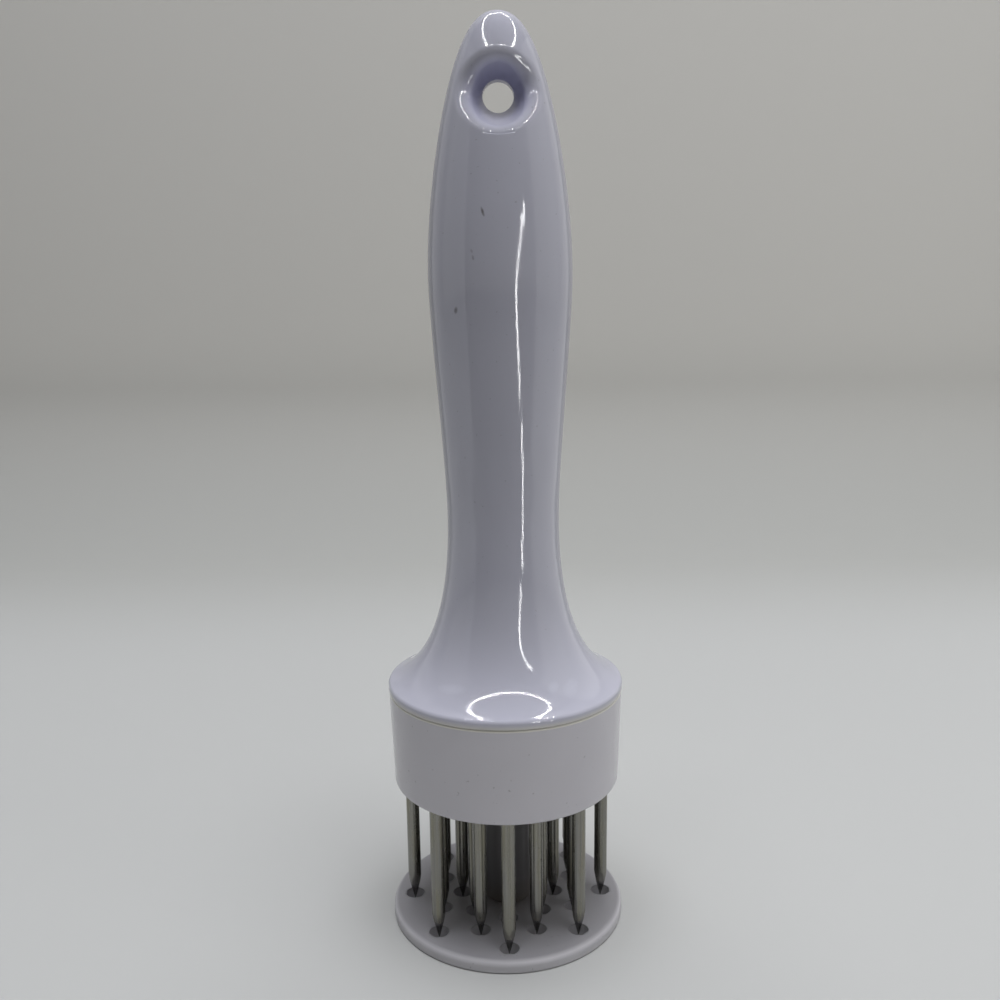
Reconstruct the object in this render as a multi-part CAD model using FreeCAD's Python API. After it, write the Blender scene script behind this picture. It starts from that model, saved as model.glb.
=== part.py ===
import FreeCAD, Part

import math
import os

from FreeCAD import Vector

# A hand-held needle tenderizer: a moulded handle caps a cup full of steel needles, and a sprung guard plate
# covers their points until the tool is pressed down.
#
# Frame: millimetres, +Z up the handle, origin at the centre of the guard plate's underside, which is where the
# tool stands. +Y is the back, and the hanging hole runs along Y.
#
# Nodes: handle, needle_holder, needle_plate, plate_screws, 24 needles, spring_guide, return_spring,
# guide_post, guard_disc and guard_screw. The last three slide up together.

# ---- Driving dimensions (mm) ------------------------------------------------------------------------------

# Needle pattern, from the middle outwards
needles_per_ring = 8
ring_names = ("inner", "middle", "outer")
ring_spacing = 5.7
inner_ring_gap = 2.8  # from the hub's wall to the inner ring's needle centres

# Needles
needle_diameter = 3.0
needle_reach = 32.45  # from the cup's underside to the points
needle_bevel_length = 2.2
needle_cone_length = 4.0
needle_cone_diameter = 2.25  # where the bevel ends and the cone begins
needle_point_diameter = 0.2
needle_head_overhang = 0.4
needle_head_height = 1.2
needle_fit = 0.05  # radial, in the cup's floor
needle_cover = 1.35  # how far the points lie below the guard plate's top

# Guard plate, post and its screw
disc_thickness = 3.0
disc_top_round = 1.4
disc_bottom_round = 0.5
disc_margin = 2.7  # from the outer holes to the edge
guard_hole_clearance = 0.7  # radial, around the needles
post_diameter = 10.5
post_running_clearance = 0.08  # radial, in the hub
post_foot_length = 11.0
post_head_overhang = 2.5
post_head_height = 2.0
post_pocket_clearance = 0.3  # radial, around the spring
guard_screw_diameter = 3.0
guard_screw_grip = 8.5  # thread length inside the post's foot
guard_screw_head_diameter = 6.2
guard_screw_inset = 0.2
screw_fit = 0.05
screw_clearance = 0.2
pilot_end_gap = 0.8

# Cup
hub_wall = 2.65
hub_height = 12.0  # above the cup's floor
floor_thickness = 6.0
cup_height = 21.6
cup_wall = 1.6  # at the bottom edge
cup_flare = 0.7  # how much wider the cup is at its top
cup_bottom_round = 0.6
cup_top_round = 0.3
head_side_clearance = 0.2

# Backing plate and its screws
plate_thickness = 3.0
plate_clearance = 0.15
plate_screw_diameter = 2.2
plate_screw_head_diameter = 4.2
plate_screw_head_height = 1.6
plate_screw_grip = 4.5  # thread length inside the cup's floor

# Spring and its guide
spring_outer_diameter = 7.2
spring_wire_diameter = 0.8
spring_turns = 22
guide_rod_clearance = 0.5  # radial, inside the spring
guide_rod_end_gap = 2.0  # above the pocket's floor when the guard is fully up
guide_head_height = 1.5
guide_head_clearance = 0.2
guide_spigot_height = 2.0
travel_end_gap = 0.35  # between guard plate and cup when fully up
post_head_end_gap = 1.65  # between the post's head and the guide when fully up

# Handle
bell_overhang = 0.1  # how far the bell stands out past the cup
bell_rim_height = 1.78
bell_rim_round = 0.9
seam_height = 0.15
seam_depth = 0.6
neck_radius = 12.39
neck_rise = 39.5  # from the cup's top to the neck
belly_radius = 15.4
belly_rise = 52.3  # from the neck to the belly
crown_rise = 52.5  # from the belly to the top
skirt_wall = 2.3
skirt_clearance = 0.1
skirt_end_gap = 0.2
snap_bead_height = 0.4
snap_bead_length = 2.0
snap_bead_drop = 5.7  # from the cup's top to the bead
snap_bead_clearance = 0.1
core_clearance = 1.0  # radial, around the post's head
ceiling_thickness = 3.0
cavity_rise = 24.0
upper_core_step = 1.8
upper_core_draft = 1.0

# Hanging hole
hang_hole_radius = 3.2
hang_hole_land = 3.0
hang_hole_flare = 0.41  # radius gained per millimetre outwards
hang_hole_drop = 16.7  # from the handle's top to the hole's axis
hang_hole_round = 2.4
hang_hole_web = 17.0  # solid plastic between the handle's core and the hole's axis

# Shares of the part that they shape: the needle's bevel, and the heads and recesses of the screws
bevel_bow = 0.62  # how much of the bevel's width is left halfway down
pan_flat = 0.6
pan_side = 0.4
pan_corner = 0.7
recess_width = 0.4
recess_reach = 0.55
sunk_recess_depth = 0.7

# How full each stretch of the handle's outline is, as shares of its rise or of its width
shoulder_reach = 0.724
shoulder_lift = 0.106
neck_lower_ease = 0.504
neck_upper_ease = 0.243
belly_lower_ease = 0.207
belly_upper_ease = 0.393
crown_side_width = 0.644
crown_side_drop = 0.148
crown_top_width = 0.43

# ---- Worked-out sizes and places --------------------------------------------------------------------------

ring_step = 360.0 / needles_per_ring
needle_radius = needle_diameter / 2
needle_head_radius = needle_radius + needle_head_overhang

post_radius = post_diameter / 2
post_head_radius = post_radius + post_head_overhang
hub_bore_radius = post_radius + post_running_clearance
hub_radius = hub_bore_radius + hub_wall

inner_ring_radius = hub_radius + inner_ring_gap
ring_radii = [inner_ring_radius + ring_spacing * i for i in range(len(ring_names))]
outer_ring_radius = ring_radii[-1]
screw_ring_radius = ring_radii[len(ring_radii) // 2]

guard_hole_radius = needle_radius + guard_hole_clearance
disc_radius = outer_ring_radius + guard_hole_radius + disc_margin

cup_inner_radius = outer_ring_radius + needle_head_radius + head_side_clearance
cup_bottom_radius = cup_inner_radius + cup_wall
cup_top_radius = cup_bottom_radius + cup_flare
bell_radius = cup_top_radius + bell_overhang

point_z = disc_thickness - needle_cover
cup_bottom_z = point_z + needle_reach
floor_top_z = cup_bottom_z + floor_thickness
hub_top_z = floor_top_z + hub_height
cup_top_z = cup_bottom_z + cup_height
plate_bottom_z = floor_top_z + needle_head_height
plate_top_z = plate_bottom_z + plate_thickness

guard_travel = cup_bottom_z - disc_thickness - travel_end_gap

pocket_floor_z = disc_thickness + post_foot_length
post_top_z = hub_top_z + post_head_height
guide_head_z = post_top_z + guard_travel + post_head_end_gap
ledge_z = guide_head_z + guide_head_height
guide_rod_end_z = pocket_floor_z + guard_travel + guide_rod_end_gap

neck_z = cup_top_z + neck_rise
belly_z = neck_z + belly_rise
top_z = belly_z + crown_rise
hang_hole_z = top_z - hang_hole_drop
core_top_z = hang_hole_z - hang_hole_web

skirt_radius = cup_inner_radius - skirt_clearance
skirt_inner_radius = skirt_radius - skirt_wall
skirt_bottom_z = plate_top_z + skirt_end_gap
snap_bead_z = cup_top_z - snap_bead_drop
seam_top_z = cup_top_z + seam_height
seam_radius = bell_radius - seam_depth
bell_rim_z = seam_top_z + bell_rim_height

core_radius = post_head_radius + core_clearance
upper_core_radius = core_radius - upper_core_step
cavity_bottom_z = bell_rim_z - ceiling_thickness
cavity_top_z = cavity_bottom_z + cavity_rise

spring_radius = (spring_outer_diameter - spring_wire_diameter) / 2
spring_inner_radius = spring_outer_diameter / 2 - spring_wire_diameter
spring_length = guide_head_z - pocket_floor_z


# ---- Shapes that several pieces use -----------------------------------------------------------------------


def at(radius, z):
    """A point of a section, drawn in the XZ plane."""
    return Vector(radius, 0, z)


def line(start, end):
    return Part.LineSegment(start, end).toShape()


def arc(start, middle, end):
    return Part.Arc(start, middle, end).toShape()


def bezier(*poles):
    curve = Part.BezierCurve()
    curve.setPoles(list(poles))
    return curve.toShape()


def path(*points):
    """Straight edges through the points."""
    return [line(a, b) for a, b in zip(points, points[1:])]


def turned(edges):
    """The solid that a closed section makes when it turns about Z."""
    section = Part.Face(Part.Wire(Part.__sortEdges__(edges)))
    return section.revolve(Vector(0, 0, 0), Vector(0, 0, 1), 360)


def cylinder(radius, bottom_z, top_z, x=0.0, y=0.0):
    return Part.makeCylinder(radius, top_z - bottom_z, Vector(x, y, bottom_z))


def polar(radius, degrees):
    angle = math.radians(degrees)
    return radius * math.cos(angle), radius * math.sin(angle)


def needle_places():
    """Name, x and y of every needle. Neighbouring rings are turned by half a step."""
    for ring, (name, radius) in enumerate(zip(ring_names, ring_radii)):
        turn = ring_step / 2 if ring % 2 else 0.0
        for i in range(needles_per_ring):
            x, y = polar(radius, turn + ring_step * i)
            yield f"needle_{name}_{i + 1}", x, y


def screw_places():
    """Every second gap of the middle ring holds a screw."""
    for i in range(needles_per_ring // 2):
        yield polar(screw_ring_radius, 2 * ring_step * i)


def rounded(solid, radius, edge_radius, z):
    """Rounds the level circular edge of that radius at height z."""
    edges = []
    for edge in solid.Edges:
        if edge.Degenerated or not isinstance(edge.Curve, Part.Circle):
            continue
        if abs(edge.Curve.Radius - edge_radius) < 1e-6 and abs(edge.Curve.Center.z - z) < 1e-6:
            edges.append(edge)
    return solid.makeFillet(radius, edges)


def cross_recess(head_radius, bottom_z, top_z):
    """The cross-shaped pocket of a screw head."""
    reach = recess_reach * head_radius
    width = recess_width * reach
    box = Part.makeBox(2 * reach, width, top_z - bottom_z, Vector(-reach, -width / 2, bottom_z))
    turned_box = box.copy()
    turned_box.rotate(Vector(0, 0, 0), Vector(0, 0, 1), 90)
    return box.fuse(turned_box)


# ---- Needles ----------------------------------------------------------------------------------------------


def needle():
    """One needle on the Z axis: an upset head, a plain shank, a bevel that bows out, and a conical point."""
    point_radius = needle_point_diameter / 2
    cone_radius = needle_cone_diameter / 2
    cone_z = point_z + needle_cone_length
    bevel_z = cone_z + needle_bevel_length
    bow_radius = cone_radius + bevel_bow * (needle_radius - cone_radius)
    bow = at(bow_radius, cone_z + needle_bevel_length / 2)
    edges = path(
        at(0, plate_bottom_z),
        at(needle_head_radius, plate_bottom_z),
        at(needle_head_radius, floor_top_z),
        at(needle_radius, floor_top_z),
        at(needle_radius, bevel_z),
    )
    edges.append(arc(at(needle_radius, bevel_z), bow, at(cone_radius, cone_z)))
    edges += path(
        at(cone_radius, cone_z),
        at(point_radius, point_z),
        at(0, point_z),
        at(0, plate_bottom_z),
    )
    return turned(edges)


# ---- Cup --------------------------------------------------------------------------------------------------


def needle_holder():
    """The cup: a thick drilled floor, a thin flared wall with a snap groove, and the hub that guides the post."""
    groove_half = snap_bead_length / 2 + snap_bead_clearance
    groove_depth = snap_bead_height - skirt_clearance + snap_bead_clearance
    edges = path(
        at(cup_inner_radius, snap_bead_z - groove_half),
        at(cup_inner_radius, floor_top_z),
        at(hub_radius, floor_top_z),
        at(hub_radius, hub_top_z),
        at(hub_bore_radius, hub_top_z),
        at(hub_bore_radius, cup_bottom_z),
        at(cup_bottom_radius, cup_bottom_z),
        at(cup_top_radius, cup_top_z),
        at(cup_inner_radius, cup_top_z),
        at(cup_inner_radius, snap_bead_z + groove_half),
    )
    groove = arc(
        at(cup_inner_radius, snap_bead_z + groove_half),
        at(cup_inner_radius + groove_depth, snap_bead_z),
        at(cup_inner_radius, snap_bead_z - groove_half),
    )
    cup = turned(edges + [groove])
    cup = rounded(cup, cup_bottom_round, cup_bottom_radius, cup_bottom_z)
    cup = rounded(cup, cup_top_round, cup_top_radius, cup_top_z)

    hole_radius = needle_radius + needle_fit
    holes = [cylinder(hole_radius, cup_bottom_z, floor_top_z, x, y) for _, x, y in needle_places()]
    pilot_radius = plate_screw_diameter / 2 + screw_fit
    pilot_bottom_z = floor_top_z - plate_screw_grip - pilot_end_gap
    holes += [cylinder(pilot_radius, pilot_bottom_z, floor_top_z, x, y) for x, y in screw_places()]
    return cup.cut(holes)


# ---- Backing plate and its screws -------------------------------------------------------------------------


def needle_plate():
    """The plate that lies on the needle heads and keeps them down."""
    plate = cylinder(cup_inner_radius - plate_clearance, plate_bottom_z, plate_top_z)
    hub_hole = cylinder(hub_radius + plate_clearance, plate_bottom_z, plate_top_z)
    screw_hole_radius = plate_screw_diameter / 2 + screw_clearance
    screw_holes = [
        cylinder(screw_hole_radius, plate_bottom_z, plate_top_z, x, y) for x, y in screw_places()
    ]
    return plate.cut([hub_hole] + screw_holes)


def plate_screws():
    """The screws through the plate into the cup's floor, with round-edged pan heads."""
    head_top_z = plate_top_z + plate_screw_head_height
    head_radius = plate_screw_head_diameter / 2
    shank_radius = plate_screw_diameter / 2
    flat_radius = pan_flat * head_radius
    side_z = plate_top_z + pan_side * plate_screw_head_height
    edges = path(
        at(flat_radius, head_top_z),
        at(0, head_top_z),
        at(0, floor_top_z - plate_screw_grip),
        at(shank_radius, floor_top_z - plate_screw_grip),
        at(shank_radius, plate_top_z),
        at(head_radius, plate_top_z),
        at(head_radius, side_z),
    )
    corner_radius = flat_radius + pan_corner * (head_radius - flat_radius)
    corner_z = side_z + pan_corner * (head_top_z - side_z)
    edges.append(arc(at(head_radius, side_z), at(corner_radius, corner_z), at(flat_radius, head_top_z)))
    screw = turned(edges).cut(cross_recess(head_radius, side_z, head_top_z))
    group = []
    for x, y in screw_places():
        copy = screw.copy()
        copy.translate(Vector(x, y, 0))
        group.append(copy)
    return Part.makeCompound(group)


# ---- Guard: post, plate and screw -------------------------------------------------------------------------


def guide_post():
    """The tube that slides in the hub. Its head stops on the hub, and its foot takes the guard's screw."""
    pocket_radius = spring_outer_diameter / 2 + post_pocket_clearance
    pilot_radius = guard_screw_diameter / 2 + screw_fit
    pilot_top_z = disc_thickness + guard_screw_grip + pilot_end_gap
    edges = path(
        at(pilot_radius, disc_thickness),
        at(post_radius, disc_thickness),
        at(post_radius, hub_top_z),
        at(post_head_radius, hub_top_z),
        at(post_head_radius, post_top_z),
        at(pocket_radius, post_top_z),
        at(pocket_radius, pocket_floor_z),
        at(0, pocket_floor_z),
        at(0, pilot_top_z),
        at(pilot_radius, pilot_top_z),
        at(pilot_radius, disc_thickness),
    )
    return turned(edges)


def guard_disc():
    """The round foot plate, with a hole for every needle and a countersunk hole in the middle."""
    disc = cylinder(disc_radius, 0, disc_thickness)
    disc = rounded(disc, disc_bottom_round, disc_radius, 0)
    disc = rounded(disc, disc_top_round, disc_radius, disc_thickness)
    holes = [cylinder(guard_hole_radius, 0, disc_thickness, x, y) for _, x, y in needle_places()]
    hole_radius = guard_screw_diameter / 2 + screw_clearance
    sink_radius = guard_screw_head_diameter / 2 + guard_screw_inset
    holes.append(cylinder(hole_radius, 0, disc_thickness))
    holes.append(Part.makeCone(sink_radius, hole_radius, sink_radius - hole_radius))
    return disc.cut(holes)


def guard_screw():
    """The countersunk screw that holds the guard plate to the post."""
    head_radius = guard_screw_head_diameter / 2
    shank_radius = guard_screw_diameter / 2
    neck_z = guard_screw_inset + head_radius - shank_radius
    tip_z = disc_thickness + guard_screw_grip
    edges = path(
        at(0, guard_screw_inset),
        at(head_radius, guard_screw_inset),
        at(shank_radius, neck_z),
        at(shank_radius, tip_z - shank_radius),
        at(0, tip_z),
        at(0, guard_screw_inset),
    )
    recess_top_z = guard_screw_inset + sunk_recess_depth * (neck_z - guard_screw_inset)
    return turned(edges).cut(cross_recess(head_radius, guard_screw_inset, recess_top_z))


# ---- Spring and its guide ---------------------------------------------------------------------------------


def return_spring():
    """The compression spring, with ends ground flat, between the post's pocket and the guide's head."""
    wire_radius = spring_wire_diameter / 2
    pitch = spring_length / spring_turns
    run_out = pitch / 2
    helix = Part.makeHelix(pitch, spring_length + 2 * run_out, spring_radius)
    start = Part.Circle(Vector(spring_radius, 0, 0), Vector(0, 1, 0), wire_radius)
    coil = Part.Wire(helix).makePipeShell([Part.Wire(start.toShape())], True, True)
    coil.translate(Vector(0, 0, pocket_floor_z - run_out))
    return coil.common(cylinder(spring_outer_diameter, pocket_floor_z, guide_head_z))


def spring_guide():
    """The headed rod inside the spring. Its spigot sits in the handle's upper core, under the ledge."""
    rod_radius = spring_inner_radius - guide_rod_clearance
    head_radius = core_radius - guide_head_clearance
    spigot_radius = upper_core_radius - guide_head_clearance
    edges = path(
        at(0, guide_rod_end_z),
        at(rod_radius, guide_rod_end_z),
        at(rod_radius, guide_head_z),
        at(head_radius, guide_head_z),
        at(head_radius, ledge_z),
        at(spigot_radius, ledge_z),
        at(spigot_radius, ledge_z + guide_spigot_height),
        at(0, ledge_z + guide_spigot_height),
        at(0, guide_rod_end_z),
    )
    return turned(edges)


# ---- Handle -----------------------------------------------------------------------------------------------


def handle_outline():
    """The outside of the handle, from the bell's rim over the neck and the belly to the top."""
    shoulder_width = bell_radius - neck_radius
    shoulder_rise = neck_z - bell_rim_z
    shoulder = bezier(
        at(bell_radius, bell_rim_z),
        at(bell_radius - shoulder_reach * shoulder_width, bell_rim_z + shoulder_lift * shoulder_rise),
        at(neck_radius, neck_z - neck_lower_ease * shoulder_rise),
        at(neck_radius, neck_z),
    )
    grip = bezier(
        at(neck_radius, neck_z),
        at(neck_radius, neck_z + neck_upper_ease * belly_rise),
        at(belly_radius, belly_z - belly_lower_ease * belly_rise),
        at(belly_radius, belly_z),
    )
    crown = bezier(
        at(belly_radius, belly_z),
        at(belly_radius, belly_z + belly_upper_ease * crown_rise),
        at(crown_side_width * belly_radius, top_z - crown_side_drop * crown_rise),
        at(crown_top_width * belly_radius, top_z),
        at(0, top_z),
    )
    return [shoulder, grip, crown]


def handle_core():
    """The inside of the handle, from its top down to the skirt: two bores, a ledge and the bell's cavity."""
    # The cavity's arc leaves the bore upright and ends at the skirt.
    width = skirt_inner_radius - core_radius
    sweep_radius = (width**2 + cavity_rise**2) / (2 * width)
    sweep = math.asin(cavity_rise / sweep_radius) / 2
    middle = at(
        core_radius + sweep_radius * (1 - math.cos(sweep)),
        cavity_top_z - sweep_radius * math.sin(sweep),
    )
    edges = path(
        at(0, top_z),
        at(0, core_top_z),
        at(upper_core_radius - upper_core_draft, core_top_z),
        at(upper_core_radius, ledge_z),
        at(core_radius, ledge_z),
        at(core_radius, cavity_top_z),
    )
    edges.append(arc(at(core_radius, cavity_top_z), middle, at(skirt_inner_radius, cavity_bottom_z)))
    return edges


def handle_skirt():
    """The ring inside the cup, with its snap bead, up to the seat on the cup's top and the seam under the rim."""
    bead_half = snap_bead_length / 2
    edges = path(
        at(skirt_inner_radius, cavity_bottom_z),
        at(skirt_inner_radius, skirt_bottom_z),
        at(skirt_radius, skirt_bottom_z),
        at(skirt_radius, snap_bead_z - bead_half),
    )
    bead = arc(
        at(skirt_radius, snap_bead_z - bead_half),
        at(skirt_radius + snap_bead_height, snap_bead_z),
        at(skirt_radius, snap_bead_z + bead_half),
    )
    edges.append(bead)
    edges += path(
        at(skirt_radius, snap_bead_z + bead_half),
        at(skirt_radius, cup_top_z),
        at(seam_radius, cup_top_z),
        at(seam_radius, seam_top_z),
        at(bell_radius, seam_top_z),
        at(bell_radius, bell_rim_z),
    )
    return edges


def hang_hole():
    """The hole's short land, with a cone that opens to the front and another to the back."""
    half_land = hang_hole_land / 2
    back = Vector(0, 1, 0)
    start = Vector(0, -half_land, hang_hole_z)
    land = Part.makeCylinder(hang_hole_radius, hang_hole_land, start, back)
    depth = belly_radius
    mouth_radius = hang_hole_radius + hang_hole_flare * depth
    cones = []
    for side in (-1, 1):
        start = Vector(0, side * half_land, hang_hole_z)
        cones.append(Part.makeCone(hang_hole_radius, mouth_radius, depth, start, back * side))
    return land.fuse(cones)


def hang_hole_rims(solid):
    """The curved edges where the cones leave the handle."""
    rims = []
    for edge in solid.Edges:
        box = edge.BoundBox
        beside = min(abs(box.YMin), abs(box.YMax)) > hang_hole_land and box.YMin * box.YMax > 0
        near = core_top_z < box.ZMin and box.ZMax < top_z
        if beside and near and box.XLength > hang_hole_round:
            rims.append(edge)
    return rims


def handle():
    """The one-piece handle."""
    solid = turned(handle_outline() + handle_core() + handle_skirt())
    solid = rounded(solid, bell_rim_round, bell_radius, bell_rim_z)
    solid = solid.cut(hang_hole())
    return solid.makeFillet(hang_hole_round, hang_hole_rims(solid))


# ---- Every node -------------------------------------------------------------------------------------------


def nodes():
    yield "handle", handle()
    yield "needle_holder", needle_holder()
    yield "needle_plate", needle_plate()
    yield "plate_screws", plate_screws()
    one_needle = needle()
    for name, x, y in needle_places():
        placed = one_needle.copy()
        placed.translate(Vector(x, y, 0))
        yield name, placed
    yield "spring_guide", spring_guide()
    yield "return_spring", return_spring()
    yield "guide_post", guide_post()
    yield "guard_disc", guard_disc()
    yield "guard_screw", guard_screw()


os.makedirs("parts", exist_ok=True)
for node_name, shape in nodes():
    shape.exportStep(f"parts/{node_name}.step")
    state = "valid" if shape.isValid() else "not valid"
    print(node_name, len(shape.Solids), "solid(s),", round(shape.Volume, 2), "mm3,", state)
print("guard travel", round(guard_travel, 3), "mm")
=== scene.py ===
import math

import bmesh
import bpy
from mathutils import Matrix, Vector


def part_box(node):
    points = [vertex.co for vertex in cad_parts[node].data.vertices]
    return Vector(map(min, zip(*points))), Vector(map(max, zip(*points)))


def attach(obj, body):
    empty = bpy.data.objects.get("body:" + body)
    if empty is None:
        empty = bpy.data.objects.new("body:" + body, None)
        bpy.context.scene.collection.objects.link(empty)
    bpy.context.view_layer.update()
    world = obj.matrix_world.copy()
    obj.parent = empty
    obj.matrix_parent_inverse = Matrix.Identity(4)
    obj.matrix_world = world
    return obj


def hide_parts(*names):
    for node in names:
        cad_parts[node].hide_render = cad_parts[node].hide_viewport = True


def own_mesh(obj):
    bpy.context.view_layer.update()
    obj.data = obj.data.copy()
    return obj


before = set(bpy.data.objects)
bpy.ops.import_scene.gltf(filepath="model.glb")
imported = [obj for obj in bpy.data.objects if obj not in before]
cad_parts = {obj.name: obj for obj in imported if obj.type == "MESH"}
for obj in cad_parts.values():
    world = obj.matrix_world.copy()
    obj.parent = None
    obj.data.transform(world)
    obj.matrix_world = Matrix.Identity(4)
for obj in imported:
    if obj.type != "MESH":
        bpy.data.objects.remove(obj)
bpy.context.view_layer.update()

mm = 0.001

# ---- Guard plate ----
# The round foot plate, moulded in the cup's white plastic and left satin by its mould. Its upper edge is
# well rounded, the holes have crisp rims, and a screw in the countersink below holds it to the post.

guard_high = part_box("guard_disc")[1]
guard_radius = guard_high.x
guard_top = guard_high.z
guard_top_round = 1.4 * mm
guard_bottom_round = 0.5 * mm
guard_hole_radius = 2.2 * mm
guard_hole_round = 0.14 * mm
guard_bore_radius = 1.7 * mm
sink_radius = 3.3 * mm
edge_round = 0.12 * mm
# Round the post's foot, a patchy brown tint paints both dirt and the shade under the needles and the cup.
dirt_shade_inner = 5 * mm
dirt_shade_outer = 12 * mm
# The top face is painted darker, as painted shade from the cup that overhangs it.
top_shade_bottom = guard_top - 0.5 * mm
top_shade_top = guard_top - 0.05 * mm

guard_colour = (0.52, 0.51, 0.535, 1)
guard_top_shade = (0.25, 0.245, 0.26, 1)
guard_dirt_and_shade = (0.13, 0.105, 0.09, 1)
speck_colour = (0.09, 0.08, 0.07, 1)
cloud_shade = 0.97

round_steps = 192
hole_steps = 40
corner_steps = 6
weld_distance = 0.002 * mm


def feed(tree, node, values):
    """Sets a node's inputs: to a plain value, to another node's output, or to a node's first output."""
    for name, value in values.items():
        if isinstance(value, bpy.types.Node):
            value = value.outputs[0]
        if isinstance(value, bpy.types.NodeSocket):
            tree.links.new(value, node.inputs[name])
        else:
            node.inputs[name].default_value = value


def add(tree, kind, values=None, **settings):
    """Adds a node with its settings and its inputs."""
    node = tree.nodes.new(kind)
    for name, value in settings.items():
        setattr(node, name, value)
    feed(tree, node, values or {})
    return node


def new_tree(name, kind, inputs, outputs):
    """A node tree with named sockets, and the values that it is given."""
    tree = bpy.data.node_groups.new(name, kind)
    for side, sockets in (("INPUT", inputs), ("OUTPUT", outputs)):
        for label, socket in sockets.items():
            tree.interface.new_socket(label, in_out=side, socket_type="NodeSocket" + socket)
    return tree, tree.nodes.new("NodeGroupInput").outputs


def close_tree(tree, results):
    """Ends a node tree with its results."""
    feed(tree, tree.nodes.new("NodeGroupOutput"), results)
    return tree


def new_shape_tree(name, inputs):
    """A Geometry Nodes tree that takes a mesh, some sizes and a material."""
    sockets = {"Geometry": "Geometry", **inputs, "Material": "Material"}
    return new_tree(name, "GeometryNodeTree", sockets, {"Geometry": "Geometry"})


def close_shape_tree(tree, given, geometry):
    """Ends a Geometry Nodes tree: plain geometry, with the piece's material on it."""
    plain = add(tree, "GeometryNodeRealizeInstances", {"Geometry": geometry})
    painted = add(tree, "GeometryNodeSetMaterial", {"Geometry": plain, "Material": given["Material"]})
    return close_tree(tree, {"Geometry": painted})


def join(tree, *parts):
    """Joins pieces of geometry."""
    joined = add(tree, "GeometryNodeJoinGeometry")
    for part in parts:
        feed(tree, joined, {"Geometry": part})
    return joined


def turned_tree():
    """Turns the outlines of a section round the Z axis, by sweeping them along a ring."""
    tree, given = new_shape_tree("turned_piece", {"Steps": "Int"})
    ring_radius = 0.05
    ring_sizes = {"Resolution": given["Steps"], "Radius": ring_radius}
    ring = add(tree, "GeometryNodeCurvePrimitiveCircle", ring_sizes)
    outlines = add(tree, "GeometryNodeMeshToCurve", {"Mesh": given["Geometry"]})
    move = {"Geometry": outlines, "Translation": (-ring_radius, 0, 0), "Rotation": (math.pi / 2, 0, 0)}
    laid = add(tree, "GeometryNodeTransform", move)
    swept = add(tree, "GeometryNodeCurveToMesh", {"Curve": ring, "Profile Curve": laid})
    return close_shape_tree(tree, given, swept)


def ring_tree():
    """Adds copies of a piece in a ring round the Z axis. Spin turns each about itself at random."""
    sizes = {"Piece": "Object", "Count": "Int", "Radius": "Float", "First Angle": "Float"}
    sizes.update({"Spin": "Float", "Seed": "Int"})
    tree, given = new_shape_tree("ring_of_copies", sizes)
    piece = add(tree, "GeometryNodeObjectInfo", {"Object": given["Piece"]}).outputs["Geometry"]
    circle = add(tree, "GeometryNodeMeshCircle", {"Vertices": given["Count"], "Radius": given["Radius"]})
    first = add(tree, "ShaderNodeCombineXYZ", {"Z": given["First Angle"]})
    placed = add(tree, "GeometryNodeTransform", {"Geometry": circle, "Rotation": first})
    # The limits of a random number are the node's third and fourth inputs, and the number its second output.
    limits = {2: 0.0, 3: given["Spin"], "Seed": given["Seed"]}
    spin = add(tree, "FunctionNodeRandomValue", limits, data_type="FLOAT")
    turn = add(tree, "ShaderNodeCombineXYZ", {"Z": spin.outputs[1]})
    copying = {"Points": placed, "Instance": piece, "Rotation": turn}
    copies = add(tree, "GeometryNodeInstanceOnPoints", copying)
    return close_shape_tree(tree, given, join(tree, given["Geometry"], copies))


def level_face_tree():
    """Closes the level face at one height between all the open edges that end there."""
    tree, given = new_shape_tree("level_face", {"Height": "Float"})
    faces = add(tree, "GeometryNodeInputMeshEdgeNeighbors")
    ends = add(tree, "GeometryNodeInputMeshEdgeVertices")
    chosen = add(tree, "FunctionNodeCompare", {2: faces, 3: 1}, data_type="INT", operation="EQUAL")
    for end in ("Position 1", "Position 2"):
        place = add(tree, "ShaderNodeSeparateXYZ", {"Vector": ends.outputs[end]})
        heights = {0: place.outputs["Z"], 1: given["Height"], "Epsilon": 0.01 * mm}
        level = add(tree, "FunctionNodeCompare", heights, data_type="FLOAT", operation="EQUAL")
        chosen = add(tree, "FunctionNodeBooleanMath", {0: chosen, 1: level})
    rims = add(tree, "GeometryNodeMeshToCurve", {"Mesh": given["Geometry"], "Selection": chosen})
    filled = add(tree, "GeometryNodeFillCurve", {"Curve": rims}, mode="TRIANGLES")
    height = add(tree, "ShaderNodeCombineXYZ", {"Z": given["Height"]})
    raised = add(tree, "GeometryNodeTransform", {"Geometry": filled, "Translation": height})
    whole = {"Geometry": join(tree, given["Geometry"], raised), "Distance": weld_distance}
    return close_shape_tree(tree, given, add(tree, "GeometryNodeMergeByDistance", whole))


def new_object(name, data):
    """An object in the scene, at the origin."""
    thing = bpy.data.objects.new(name, data)
    bpy.context.scene.collection.objects.link(thing)
    return thing


def shaped(target, tree, **sizes):
    """Runs a Geometry Nodes tree on a piece and keeps the result as its plain mesh."""
    modifier = target.modifiers.new(tree.name, "NODES")
    modifier.node_group = tree
    for item in tree.interface.items_tree:
        name = item.name.lower().replace(" ", "_")
        if item.in_out == "INPUT" and name in sizes:
            modifier[item.identifier] = sizes[name]
    return kept_shape(target)


def kept_shape(piece):
    """Puts a piece's modifiers into its mesh and removes them."""
    ready = piece.evaluated_get(bpy.context.evaluated_depsgraph_get())
    mesh = bpy.data.meshes.new_from_object(ready)
    piece.modifiers.clear()
    piece.data = mesh
    return piece


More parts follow.
